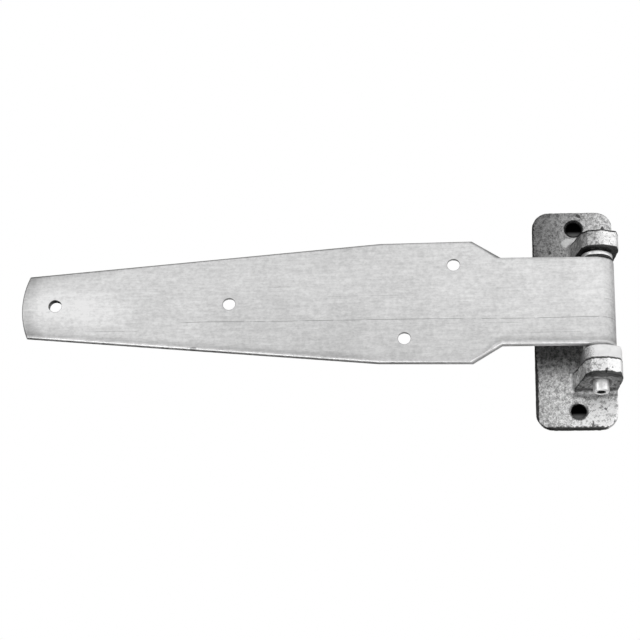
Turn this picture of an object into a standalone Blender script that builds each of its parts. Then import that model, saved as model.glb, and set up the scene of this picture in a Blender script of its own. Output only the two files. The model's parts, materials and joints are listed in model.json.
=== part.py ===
"""Heavy strap hinge for gates and doors, 356 mm (14 in) long.

A cast flange plate with two lugs screws to the post. A tapered steel strap, rolled into an eye at one
end, carries the gate and turns round the pin that joins the lugs.

Frame: metres. The origin is the centre of the flange's back face, +Z runs up along the pin, and +Y
points into the post. The strap lies towards -X, parallel to the plate, in front of it.
"""

import math

import bmesh
import bpy
from mathutils import Vector

# Driving dimensions, in metres.
ROUND_STEPS = 40          # sides of every round surface
FIT_GAP = 0.0003          # left between faces that touch
RUN_GAP = 0.0001          # left round the pin and round the bushings

# Flange plate.
PLATE_WIDTH = 0.0481
PLATE_HEIGHT = 0.1386
PLATE_THICKNESS = 0.0050
PLATE_CORNER = 0.0102
PLATE_EDGE = 0.0008
PLATE_HOLE_RADIUS = 0.0045
PLATE_SINK_RADIUS = 0.0057
PLATE_HOLE_X = 0.0010
PLATE_HOLE_Z = 0.0585

# Pin axis.
PIN_X = 0.0136
PIN_Y = -0.0196
PIN_RADIUS = 0.00476
PIN_BOTTOM_Z = -0.0525
PIN_HEAD_Z = 0.0471
PIN_HEAD_RADIUS = 0.0060
PIN_HEAD_HEIGHT = 0.0015
PIN_DRILL_RADIUS = 0.00245
PIN_DRILL_DEPTH = 0.0060
PIN_EDGE = 0.0006

# Lugs. The outlines are (x, forward, corner radius), measured from the pin axis.
LUG_INNER_Z = 0.0352
LUG_NOSE_THICKNESS = 0.0104
LUG_ROOT_THICKNESS = 0.0118
LUG_ROOT = PIN_Y + PLATE_THICKNESS          # the plate's front, as a forward distance
LUG_EMBED = 0.0015
LUG_FORWARD = 0.0132
LUG_OUTLINE = (
    (-0.0215, LUG_ROOT - 0.0002, 0.0),
    (-0.0155, LUG_ROOT - 0.0002, 0.0045),
    (-0.0094, 0.0078, 0.0030),
    (-0.0056, 0.0122, 0.0030),
    (0.0036, LUG_FORWARD, 0.0),
    (0.0116, 0.0098, 0.0026),
    (0.0129, 0.0030, 0.0040),
    (0.0102, LUG_ROOT - 0.0002, 0.0),
    (0.0102, LUG_ROOT - LUG_EMBED, 0.0),
    (-0.0215, LUG_ROOT - LUG_EMBED, 0.0),
)
BLOCK_OUTLINE = (
    (-0.0114, -0.0087, 0.0015),
    (-0.0096, 0.0072, 0.0050),
    (-0.0050, 0.0126, 0.0040),
    (0.0040, 0.0128, 0.0060),
    (0.0116, 0.0094, 0.0040),
    (0.0128, 0.0010, 0.0040),
    (0.0122, -0.0087, 0.0015),
)

# The stack on the pin, upwards from the lower lug.
BLOCK_THICKNESS = 0.0074
LOWER_FLANGE = 0.0012
UPPER_FLANGE = 0.0010
WASHER_THICKNESS = 0.0025
BUSHING_LENGTH = 0.0180
BUSHING_FLANGE_RADIUS = 0.0094
WASHER_RADIUS = 0.0093
SMALL_EDGE = 0.0003

# Strap. Stations are (x, half height) above and below the strap's centreline.
STRAP_Z = 0.0020
STRAP_THICKNESS = 0.0038
STRAP_TIP_X = -0.3291
TIP_CORNER = (-0.3252, 0.0196)
TAPER_END = (-0.1152, 0.0380)
SHOULDER = (-0.0605, 0.0387)
NECK = (-0.0432, 0.0277)
TIP_STEPS = 10
EYE_RADIUS = 0.00985
EYE_CURL = math.radians(296.0)
EYE_STEPS = 34
STRAP_HOLE_RADIUS = 0.0037
STRAP_HOLES = ((-0.3088, 0.0), (-0.2046, 0.0), (-0.1006, -0.0232), (-0.0715, 0.0232))

# Colours are linear; each material is (colour, roughness, metallic).
MATERIALS = {
    "cast_zinc": ((0.46, 0.46, 0.46), 0.62, 0.7),
    "plated_steel": ((0.62, 0.62, 0.62), 0.40, 0.9),
    "bright_steel": ((0.70, 0.70, 0.70), 0.28, 1.0),
    "pale_nylon": ((0.68, 0.68, 0.67), 0.50, 0.0),
}


def material(name):
    """The Principled material of that name, made once."""
    found = bpy.data.materials.get(name)
    if found:
        return found
    colour, roughness, metallic = MATERIALS[name]
    made = bpy.data.materials.new(name)
    made.use_nodes = True
    shader = made.node_tree.nodes["Principled BSDF"]
    shader.inputs["Base Color"].default_value = (*colour, 1.0)
    shader.inputs["Roughness"].default_value = roughness
    shader.inputs["Metallic"].default_value = metallic
    made.diffuse_color = (*colour, 1.0)
    return made


def object_from(bm, name, material_name=None, location=(0.0, 0.0, 0.0)):
    """Turns a bmesh into an object with outward faces and smooth round surfaces."""
    bmesh.ops.recalc_face_normals(bm, faces=bm.faces)
    mesh = bpy.data.meshes.new(name)
    bm.to_mesh(mesh)
    bm.free()
    mesh.shade_smooth()
    mesh.set_sharp_from_angle(angle=math.radians(30.0))
    made = bpy.data.objects.new(name, mesh)
    made.location = location
    bpy.context.collection.objects.link(made)
    if material_name:
        mesh.materials.append(material(material_name))
    return made


def combine(target, tool, operation):
    """A Boolean on the target. The tool is a hidden cutter or filler."""
    tool.hide_render = True
    tool.display_type = "WIRE"
    modifier = target.modifiers.new(tool.name, "BOOLEAN")
    modifier.operation = operation
    modifier.solver = "EXACT"
    modifier.object = tool


def rounded(corners, steps=5):
    """The points of an outline whose corners are (x, y, radius), each turned as an arc."""
    points = []
    count = len(corners)
    for i, (x, y, radius) in enumerate(corners):
        corner = Vector((x, y))
        if radius == 0.0:
            points.append(corner)
            continue
        before = (Vector(corners[i - 1][:2]) - corner).normalized()
        after = (Vector(corners[(i + 1) % count][:2]) - corner).normalized()
        half = before.angle(after) / 2.0
        reach = radius / math.tan(half)
        centre = corner + (before + after).normalized() * (radius / math.sin(half))
        start = corner + before * reach - centre
        sweep = start.angle_signed(corner + after * reach - centre)
        for step in range(steps + 1):
            turn = -sweep * step / steps
            x_axis, y_axis = math.cos(turn), math.sin(turn)
            offset = (start.x * x_axis - start.y * y_axis, start.x * y_axis + start.y * x_axis)
            points.append(centre + Vector(offset))
    return points


def prism(points, low, high):
    """A solid between the heights low(point) and high(point) over an outline in X and Y."""
    bm = bmesh.new()
    bottom = [bm.verts.new((p.x, p.y, low(p))) for p in points]
    top = [bm.verts.new((p.x, p.y, high(p))) for p in points]
    bm.faces.new(bottom)
    bm.faces.new(top)
    for i, vertex in enumerate(bottom):
        following = (i + 1) % len(bottom)
        bm.faces.new((vertex, bottom[following], top[following], top[i]))
    return bm


def turned(profile, axis="Z"):
    """A closed ring or a solid of revolution; profile is (radius, height), counter-clockwise.

    Points at radius 0 become one vertex on the axis.
    """
    bm = bmesh.new()
    rings = []
    for radius, height in profile:
        if radius == 0.0:
            rings.append([bm.verts.new((0.0, 0.0, height))] * ROUND_STEPS)
            continue
        ring = []
        for step in range(ROUND_STEPS):
            turn = math.tau * step / ROUND_STEPS
            ring.append(bm.verts.new((radius * math.cos(turn), radius * math.sin(turn), height)))
        rings.append(ring)
    for i, ring in enumerate(rings):
        following = rings[(i + 1) % len(rings)]
        for j in range(ROUND_STEPS):
            k = (j + 1) % ROUND_STEPS
            corners = []
            for vertex in (ring[j], ring[k], following[k], following[j]):
                if vertex not in corners:
                    corners.append(vertex)
            if len(corners) > 2:
                bm.faces.new(corners)
    if axis == "Y":
        for vertex in bm.verts:
            vertex.co = (vertex.co.x, vertex.co.z, -vertex.co.y)
    return bm


def ring_profile(inner, outer, low, high, edge):
    """The section of a washer with chamfered outer edges."""
    return (
        (inner, low),
        (outer - edge, low),
        (outer, low + edge),
        (outer, high - edge),
        (outer - edge, high),
        (inner, high),
    )


def cylinder_profile(radius, low, high):
    """The section of a plain round bar."""
    return ((0.0, low), (radius, low), (radius, high), (0.0, high))


def plate_outline():
    """The flange plate's outline in X and Z, with rounded corners."""
    half_x, half_z = PLATE_WIDTH / 2.0, PLATE_HEIGHT / 2.0
    return rounded([(sx * half_x, sz * half_z, PLATE_CORNER)
                    for sx, sz in ((-1, -1), (1, -1), (1, 1), (-1, 1))], steps=6)


def make_plate():
    """The bare flange plate, with softened edges."""
    bm = prism(plate_outline(), lambda p: 0.0, lambda p: PLATE_THICKNESS)
    rim = [e for e in bm.edges if abs(e.verts[0].co.z - e.verts[1].co.z) < 1e-6]
    bmesh.ops.bevel(bm, geom=rim, offset=PLATE_EDGE, segments=2, profile=0.5, affect="EDGES")
    for vertex in bm.verts:
        vertex.co = (vertex.co.x, -vertex.co.z, vertex.co.y)
    return object_from(bm, "flange", "cast_zinc")


def make_lug(name, side):
    """One lug, thicker at its root. side is +1 for the upper lug and -1 for the lower one."""
    def outer(point):
        forward = -point.y
        share = (LUG_FORWARD - forward) / (LUG_FORWARD - LUG_ROOT)
        return LUG_INNER_Z + LUG_NOSE_THICKNESS + share * (LUG_ROOT_THICKNESS - LUG_NOSE_THICKNESS)

    points = [Vector((p.x, -p.y)) for p in rounded(LUG_OUTLINE)]
    bm = prism(points, lambda p: side * LUG_INNER_Z, lambda p: side * outer(p))
    return object_from(bm, name, location=(PIN_X, PIN_Y, 0.0))


def countersink_cutter(name, z):
    """The tool that leaves one countersunk screw hole in the plate."""
    sink_depth = PLATE_SINK_RADIUS - PLATE_HOLE_RADIUS
    over = 0.001
    profile = (
        (0.0, -over),
        (PLATE_HOLE_RADIUS, -over),
        (PLATE_HOLE_RADIUS, PLATE_THICKNESS - sink_depth),
        (PLATE_SINK_RADIUS + over, PLATE_THICKNESS + over),
        (0.0, PLATE_THICKNESS + over),
    )
    bm = turned([(radius, -height) for radius, height in reversed(profile)], axis="Y")
    return object_from(bm, name, location=(PLATE_HOLE_X, 0.0, z))


def make_flange():
    """The cast flange: plate, two lugs, pin bores and two countersunk holes."""
    flange = make_plate()
    for name, side in (("upper_lug_form", 1), ("lower_lug_form", -1)):
        combine(flange, make_lug(name, side), "UNION")
    bore_end = 2.0 * LUG_INNER_Z
    bore = object_from(turned(cylinder_profile(PIN_RADIUS + RUN_GAP, -bore_end, bore_end)),
                       "pin_bore_tool", location=(PIN_X, PIN_Y, 0.0))
    combine(flange, bore, "DIFFERENCE")
    for name, z in (("upper_hole_tool", PLATE_HOLE_Z), ("lower_hole_tool", -PLATE_HOLE_Z)):
        combine(flange, countersink_cutter(name, z), "DIFFERENCE")
    return flange


def strap_outline():
    """The flat part of the strap in X and Z from the pin axis, clockwise seen from the front."""
    tip_x, tip_half = TIP_CORNER
    rise = tip_x - STRAP_TIP_X
    tip_radius = (tip_half ** 2 + rise ** 2) / (2.0 * rise)
    sweep = math.asin(tip_half / tip_radius)
    upper = [(PIN_X, NECK[1]), NECK, SHOULDER, TAPER_END]
    arc = []
    for step in range(TIP_STEPS + 1):
        turn = sweep * (1.0 - 2.0 * step / TIP_STEPS)
        arc.append((STRAP_TIP_X + tip_radius * (1.0 - math.cos(turn)), tip_radius * math.sin(turn)))
    lower = [(x, -half) for x, half in reversed(upper)]
    return [(x - PIN_X, z) for x, z in upper + arc + lower]


def make_strap():
    """The strap: a flat blank whose neck end is rolled round the pin axis into an eye."""
    bm = bmesh.new()
    front = [bm.verts.new((x, -EYE_RADIUS, z)) for x, z in strap_outline()]
    blank = bm.faces.new(front)
    grown = bmesh.ops.extrude_face_region(bm, geom=[blank], use_keep_orig=True)
    moved = [v for v in grown["geom"] if isinstance(v, bmesh.types.BMVert)]
    bmesh.ops.translate(bm, verts=moved, vec=(0.0, STRAP_THICKNESS, 0.0))
    end = [f for f in bm.faces if all(abs(v.co.x) < 1e-7 for v in f.verts)]
    region = end + list(end[0].edges) + list(end[0].verts)
    bmesh.ops.spin(bm, geom=region, cent=(0.0, 0.0, 0.0), axis=(0.0, 0.0, 1.0),
                   angle=EYE_CURL, steps=EYE_STEPS, use_duplicate=False)
    strap = object_from(bm, "strap", "plated_steel", location=(PIN_X, PIN_Y, STRAP_Z))
    for i, (x, z) in enumerate(STRAP_HOLES):
        depth = 2.0 * STRAP_THICKNESS
        tool = object_from(turned(cylinder_profile(STRAP_HOLE_RADIUS, -depth, depth), axis="Y"),
                           f"strap_hole_tool_{i + 1}",
                           location=(x - PIN_X, -EYE_RADIUS + STRAP_THICKNESS / 2.0, z))
        tool.parent = strap
        combine(strap, tool, "DIFFERENCE")
    return strap


def make_pin():
    """The hinge pin: a low domed head on top and a drilled lower end."""
    head_edge = PIN_HEAD_RADIUS * 0.82
    head_top = PIN_HEAD_Z + PIN_HEAD_HEIGHT
    drill_top = PIN_BOTTOM_Z + PIN_DRILL_DEPTH
    drill_tip = drill_top + PIN_DRILL_RADIUS * 0.6
    profile = (
        (0.0, drill_tip),
        (PIN_DRILL_RADIUS, drill_top),
        (PIN_DRILL_RADIUS, PIN_BOTTOM_Z + PIN_EDGE),
        (PIN_DRILL_RADIUS + PIN_EDGE, PIN_BOTTOM_Z),
        (PIN_RADIUS - PIN_EDGE, PIN_BOTTOM_Z),
        (PIN_RADIUS, PIN_BOTTOM_Z + PIN_EDGE),
        (PIN_RADIUS, PIN_HEAD_Z),
        (PIN_HEAD_RADIUS, PIN_HEAD_Z),
        (PIN_HEAD_RADIUS, PIN_HEAD_Z + PIN_HEAD_HEIGHT * 0.35),
        (head_edge, PIN_HEAD_Z + PIN_HEAD_HEIGHT * 0.8),
        (head_edge * 0.5, head_top),
        (0.0, head_top),
    )
    return object_from(turned(profile), "hinge_pin", "bright_steel", location=(PIN_X, PIN_Y, 0.0))


def make_block():
    """The thrust block that fills the space above the lower lug and can't turn."""
    low = -LUG_INNER_Z + FIT_GAP
    points = [Vector((p.x, -p.y)) for p in rounded(BLOCK_OUTLINE)]
    bm = prism(points, lambda p: low, lambda p: low + BLOCK_THICKNESS)
    block = object_from(bm, "thrust_block", "pale_nylon", location=(PIN_X, PIN_Y, 0.0))
    bore = object_from(turned(cylinder_profile(PIN_RADIUS + RUN_GAP, -LUG_INNER_Z, 0.0)),
                       "block_bore_tool", location=(PIN_X, PIN_Y, 0.0))
    combine(block, bore, "DIFFERENCE")
    return block


def make_bushing(name, strap, side, flange_thickness):
    """A flanged bushing pressed into one end of the eye. side is +1 at the top, -1 below."""
    inner = PIN_RADIUS + RUN_GAP
    sleeve = EYE_RADIUS - STRAP_THICKNESS - RUN_GAP
    face = NECK[1] + FIT_GAP
    profile = (
        (inner, face - BUSHING_LENGTH),
        (sleeve - SMALL_EDGE, face - BUSHING_LENGTH),
        (sleeve, face - BUSHING_LENGTH + SMALL_EDGE),
        (sleeve, face),
        (BUSHING_FLANGE_RADIUS, face),
        (BUSHING_FLANGE_RADIUS, face + flange_thickness - SMALL_EDGE),
        (BUSHING_FLANGE_RADIUS - SMALL_EDGE, face + flange_thickness),
        (inner, face + flange_thickness),
    )
    bushing = object_from(turned([(radius, side * height) for radius, height in profile]),
                          name, "pale_nylon")
    bushing.parent = strap
    return bushing


def make_washer(strap):
    """The steel thrust washer on top of the upper bushing."""
    low = NECK[1] + FIT_GAP + UPPER_FLANGE + FIT_GAP
    profile = ring_profile(PIN_RADIUS + RUN_GAP, WASHER_RADIUS, low, low + WASHER_THICKNESS,
                           SMALL_EDGE)
    washer = object_from(turned(profile), "thrust_washer", "bright_steel")
    washer.parent = strap
    return washer


def build():
    """Makes the whole hinge."""
    for old in list(bpy.data.objects):
        bpy.data.objects.remove(old)
    make_flange()
    make_pin()
    make_block()
    strap = make_strap()
    make_bushing("lower_bushing", strap, -1, LOWER_FLANGE)
    make_bushing("upper_bushing", strap, 1, UPPER_FLANGE)
    make_washer(strap)


build()
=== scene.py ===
"""The looks of the strap hinge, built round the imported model. Metres, +Z up along the pin."""

import json
import math

import bmesh
import bpy
import numpy as np
from mathutils import Matrix, Vector, noise


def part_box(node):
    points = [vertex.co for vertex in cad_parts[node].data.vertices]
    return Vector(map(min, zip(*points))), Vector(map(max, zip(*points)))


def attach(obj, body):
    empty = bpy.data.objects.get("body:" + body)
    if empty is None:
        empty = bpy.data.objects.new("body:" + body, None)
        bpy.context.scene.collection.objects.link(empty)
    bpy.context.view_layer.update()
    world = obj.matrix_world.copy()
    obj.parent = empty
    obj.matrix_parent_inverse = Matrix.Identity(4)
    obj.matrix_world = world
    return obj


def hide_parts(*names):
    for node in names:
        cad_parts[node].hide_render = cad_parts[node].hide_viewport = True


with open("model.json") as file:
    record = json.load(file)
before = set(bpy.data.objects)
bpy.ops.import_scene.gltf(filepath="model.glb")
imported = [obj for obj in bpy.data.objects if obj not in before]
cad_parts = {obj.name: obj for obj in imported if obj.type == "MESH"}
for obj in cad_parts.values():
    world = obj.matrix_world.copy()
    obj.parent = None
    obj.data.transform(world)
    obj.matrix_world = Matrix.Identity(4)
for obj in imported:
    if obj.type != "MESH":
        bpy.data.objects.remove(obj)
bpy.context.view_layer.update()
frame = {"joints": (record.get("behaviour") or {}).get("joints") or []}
MM = 0.001

# Places, from the frame.
PIN = Vector(frame["joints"][0]["pos_m"])
STRAP_LOW, STRAP_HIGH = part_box("strap")
FLANGE_LOW, FLANGE_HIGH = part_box("flange")
PIN_LOW, PIN_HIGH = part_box("hinge_pin")
BLOCK_LOW, BLOCK_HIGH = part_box("thrust_block")
WASHER_LOW, WASHER_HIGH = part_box("thrust_washer")
LOWER_LOW, LOWER_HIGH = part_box("lower_bushing")
UPPER_LOW, UPPER_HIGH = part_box("upper_bushing")

# Camera. It stands below the hinge and looks up at it.
CAMERA_AIM = Vector((-0.1522, -0.0050, 0.0010))
CAMERA_AZIMUTH = math.radians(4.47)
CAMERA_ELEVATION = math.radians(-22.07)
CAMERA_ROLL = math.radians(0.94)
CAMERA_DISTANCE = 1.3173
CAMERA_LENS = 123.15
CAMERA_SENSOR = 36.0

# The surround that the metal mirrors is a sum of glows. Each has a side, and its brightness against how
# far a direction turns towards that side, from -1 to 1. The first two points are the curve's ends.
GLOWS = (
    ((0.40, -0.78, -0.42),
     ((-1.0, 0.05), (1.0, 0.30), (-0.3, 0.08), (0.25, 0.42), (0.53, 0.98), (0.70, 0.85))),
    ((-0.05, -0.88, 0.47), ((-1.0, 0.0), (1.0, 0.26), (0.55, 0.0), (0.72, 0.10), (0.88, 0.22))),
    ((0.70, 0.70, 0.10), ((-1.0, 0.0), (1.0, 0.60), (0.35, 0.0), (0.60, 0.30), (0.80, 0.55))),
    ((0.0, 0.0, 1.0), ((-1.0, 0.0), (1.0, 0.40), (0.45, 0.0), (0.75, 0.22))),
    ((-1.0, 0.0, 0.0), ((-1.0, 0.0), (1.0, 0.50), (0.50, 0.0), (0.80, 0.30))),
)
GLOW_LIMIT = 2.0    # the brightness that the top of a glow's curve stands for

# Soft lights: name, place, width and height in metres, and power in watts.
LIGHTS = (
    ("key", (0.95, -0.95, -0.30), (1.9, 1.9), 8.5),
    ("left", (-1.30, -1.00, 0.40), (0.6, 0.6), 1.9),
    ("back", (-0.10, 1.50, 0.30), (1.0, 0.8), 2.4),
    ("low", (-0.30, -0.25, -0.75), (2.2, 0.55), 6.5),
)
LIGHTS_AIM = Vector((-0.10, -0.02, 0.0))

# The floor, far enough below for a camera that looks straight up. It glows, and fades to white outwards.
FLOOR_Z = -1.45
FLOOR_RADIUS = 4.0
FLOOR_GLOW = 0.78
FLOOR_FADE = (500.0, 3600.0)    # where the fade starts and ends, in millimetres from the middle

# Materials.
PALEST = 0.97               # the palest grey that a toned colour gets
NOISE_RANGE = (0.3, 0.7)    # where most values of a noise lie

# Meshes.
ROUND_SIDES = 96      # round a turned piece
HOLE_SIDES = 64       # round a hole
SHARP_ANGLE = 40.0    # an edge sharper than this, in degrees, is rounded
NEAR = 0.01 * MM      # lengths closer than this count as equal

# Strap.
EYE_RADIUS = PIN.y - STRAP_LOW.y
STRAP_THICKNESS = 3.8 * MM
EYE_CURL = math.radians(296.0)
EYE_STEPS = 90
STRAP_Z = (STRAP_LOW.z + STRAP_HIGH.z) / 2.0
TIP_CORNER = (-325.2 * MM, 19.6 * MM)
TIP_STEPS = 24
TAPER_END = (-115.2 * MM, 38.0 * MM)
SHOULDER = (-60.5 * MM, (STRAP_HIGH.z - STRAP_LOW.z) / 2.0)
NECK = (-43.2 * MM, 27.7 * MM)
STRAP_HOLE_RADIUS = 3.7 * MM
STRAP_HOLES = ((-308.8 * MM, 0.0), (-204.6 * MM, 0.0), (-100.6 * MM, -23.2 * MM), (-71.5 * MM, 23.2 * MM))
STRAP_HOLE_TAPERS = (0.1 * MM, 1.0 * MM, 1.0 * MM, 1.0 * MM)    # how much each widens behind
STRAP_HOLE_LAND = 0.9 * MM    # how deep a hole stays straight before it widens
FRONT_EDGE = 1.5 * MM    # roundings
BACK_EDGE = 0.35 * MM
HOLE_EDGE = 0.2 * MM

# Rolling marks along the strap: height, start, end and width, in millimetres.
SCRATCHES = ((-9.3, -235.0, 27.0, 0.24), (2.5, 8.0, 24.0, 0.22), (0.4, 12.0, 22.0, 0.16),
             (-12.0, -75.0, -30.0, 0.10), (12.5, -190.0, -150.0, 0.10), (6.0, -150.0, -100.0, 0.10),
             (-14.5, -300.0, -255.0, 0.12), (-18.5, -30.0, 5.0, 0.12))
SCRATCH_FADE = 6.0
NICK_PLACE = (-225.0, STRAP_Z / MM - 27.8)    # a dark nick near the lower edge, as X and Z in millimetres
NICK_SIZE = (2.2, 0.9)

# Flange. Painted light on the plate: painted highlights at the left roots of the upper and lower lugs, and a
# painted shadow beside the upper lug's root. A mark is a centre and half size in X and Z, in millimetres, a
# strength and a tone.
PAINTED_LIGHT_MARKS = (
    ((-1.6, 49.0), (5.2, 3.4), 0.6, 0.85),
    ((-2.2, -40.0), (1.9, 8.0), 0.6, 0.85),
    ((0.6, 43.5), (1.0, 4.5), 0.8, 0.04),
)
PLATE_WIDTH = 48.1 * MM
PLATE_HEIGHT = FLANGE_HIGH.z - FLANGE_LOW.z
PLATE_THICKNESS = 5.0 * MM
PLATE_CORNER = 10.2 * MM
PLATE_HOLE_X = 1.0 * MM
PLATE_HOLE_Z = 58.5 * MM
PLATE_HOLE_RADIUS = 4.5 * MM
PLATE_SINK_RADIUS = 5.7 * MM
CUT_EXCESS = 1.0 * MM    # how far a cutter runs past what it cuts
LUG_INNER_Z = 35.2 * MM
LUG_NOSE = 10.4 * MM     # a lug's thickness at its nose, and at the plate
LUG_ROOT = 11.8 * MM
LUG_SLOPE = (LUG_ROOT - LUG_NOSE) / (-PLATE_THICKNESS - FLANGE_LOW.y)
LUG_FORWARD = PIN.y - FLANGE_LOW.y      # the lugs' noses and the plate's front, from the pin forwards
LUG_BACK = PIN.y + PLATE_THICKNESS
FILLET_RADIUS = 3.0 * MM
FILLET_STEPS = 8
FILLET_SINK = 0.3 * MM   # how far the fillet lies inside the lug and the plate
FILLET_ENDS = (-15.0 * MM, 10.0 * MM)    # along X, from the pin
NIB_PLACE = (3.2 * MM, 1.7 * MM)         # along X from the pin, and back from the lug's nose
CAST_VOXEL = 0.42 * MM
CAST_BUMPS = ((420.0, 1.0), (1100.0, 0.5))    # the cast skin's noises: frequency per metre and weight
CAST_SINK = 0.05 * MM    # the skin's mean depth, and how far the noises sink it further
CAST_ROUGHNESS = 0.10 * MM
CAST_FLAT = 0.97         # a normal whose longest coordinate is less than this lies on an edge

# Pin, block and bushings.
PIN_RADIUS = 4.76 * MM
PIN_HEAD = 1.5 * MM
DRILL_RADIUS = 2.45 * MM
DRILL_DEPTH = 6.0 * MM
DRILL_CONE = 1.4 * MM
BLOCK_EDGE = 0.6 * MM
RUN_GAP = 0.1 * MM    # round the pin, and round the bushings' sleeves
BORE_RADIUS = PIN_RADIUS + RUN_GAP
SLEEVE_LENGTH = 18.0 * MM


def rounded(corners, steps=8):
    """The points of a closed outline whose corners are (x, y, radius), each rounded by an arc."""
    points = []
    count = len(corners)
    for i, (x, y, radius) in enumerate(corners):
        corner = Vector((x, y))
        if radius == 0.0:
            points.append(corner)
            continue
        before = (Vector(corners[i - 1][:2]) - corner).normalized()
        after = (Vector(corners[(i + 1) % count][:2]) - corner).normalized()
        half = before.angle(after) / 2.0
        reach = radius / math.tan(half)
        centre = corner + (before + after).normalized() * (radius / math.sin(half))
        start = corner + before * reach - centre
        sweep = start.angle_signed(corner + after * reach - centre)
        for step in range(steps + 1):
            turn = -sweep * step / steps
            cosine, sine = math.cos(turn), math.sin(turn)
            offset = (start.x * cosine - start.y * sine, start.x * sine + start.y * cosine)
            points.append(centre + Vector(offset))
    return points


def object_from(bm, name, sharp=35.0):
    """Turns a bmesh into a smooth-shaded object with outward faces."""
    bmesh.ops.recalc_face_normals(bm, faces=bm.faces)
    mesh = bpy.data.meshes.new(name)
    bm.to_mesh(mesh)
    bm.free()
    mesh.shade_smooth()
    mesh.set_sharp_from_angle(angle=math.radians(sharp))
    made = bpy.data.objects.new(name, mesh)
    bpy.context.collection.objects.link(made)
    return made


def prism(points, low, high):
    """A solid between the heights low(point) and high(point) over an outline in X and Y."""
    bm = bmesh.new()
    bottom = [bm.verts.new((p.x, p.y, low(p))) for p in points]
    top = [bm.verts.new((p.x, p.y, high(p))) for p in points]
    bm.faces.new(bottom)
    bm.faces.new(top)
    for i, vertex in enumerate(bottom):
        following = (i + 1) % len(bottom)
        bm.faces.new((vertex, bottom[following], top[following], top[i]))
    return bm


def turned(profile, centre, sides=ROUND_SIDES, axis="Z"):
    """A turned piece; profile is a closed outline of (radius, height), radius 0 on the axis."""
    bm = bmesh.new()
    rings = []
    for radius, height in profile:
        if radius < NEAR:
            rings.append([bm.verts.new((0.0, 0.0, height))] * sides)
            continue
        turns = [math.tau * i / sides for i in range(sides)]
        rings.append([bm.verts.new((radius * math.cos(turn), radius * math.sin(turn), height))
                      for turn in turns])
    for i, ring in enumerate(rings):
        following = rings[(i + 1) % len(rings)]
        for j in range(sides):
            k = (j + 1) % sides
            corners = []
            for vertex in (ring[j], ring[k], following[k], following[j]):
                if vertex not in corners:
                    corners.append(vertex)
            if len(corners) > 2:
                bm.faces.new(corners)
    for vertex in bm.verts:
        if axis == "Y":
            vertex.co = (vertex.co.x, vertex.co.z, -vertex.co.y)
        vertex.co += Vector(centre)
    return bm


def about_pin(outline, steps=8):
    """An outline given from the pin, its second axis towards the front, as points in the frame."""
    return [Vector((PIN.x + point.x, PIN.y - point.y)) for point in rounded(outline, steps)]


def apply_modifiers(target):
    """Replaces the target's mesh with its evaluated one."""
    graph = bpy.context.evaluated_depsgraph_get()
    graph.update()
    result = bpy.data.meshes.new_from_object(target.evaluated_get(graph))
    target.modifiers.clear()
    target.data = result


def boolean(target, tool, operation):
    """Applies a Boolean to the target's mesh and deletes the tool."""
    modifier = target.modifiers.new("cut", "BOOLEAN")
    modifier.operation = operation
    modifier.solver = "EXACT"
    modifier.object = tool
    apply_modifiers(target)
    bpy.data.objects.remove(tool)


def cut(target, profile, centre, sides=HOLE_SIDES, axis="Z"):
    """Cuts a turned shape out of the target."""
    boolean(target, object_from(turned(profile, centre, sides, axis), "tool"), "DIFFERENCE")


def cut_bore(target, low, high, sides):
    """Cuts the pin's bore through the target, between two heights."""
    profile = [(0.0, low), (BORE_RADIUS, low), (BORE_RADIUS, high), (0.0, high)]
    cut(target, profile, (PIN.x, PIN.y, 0.0), sides)


def bevel(target, width, segments, angle=SHARP_ANGLE, by_weight=False, clamp=True):
    """Rounds the target's sharp edges, or those with a bevel weight."""
    modifier = target.modifiers.new("edges", "BEVEL")
    modifier.width = width
    modifier.segments = segments
    modifier.limit_method = "WEIGHT" if by_weight else "ANGLE"
    modifier.angle_limit = math.radians(angle)
    modifier.miter_outer = "MITER_ARC"
    modifier.use_clamp_overlap = clamp
    modifier.harden_normals = True
    apply_modifiers(target)


# Node helpers.


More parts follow.
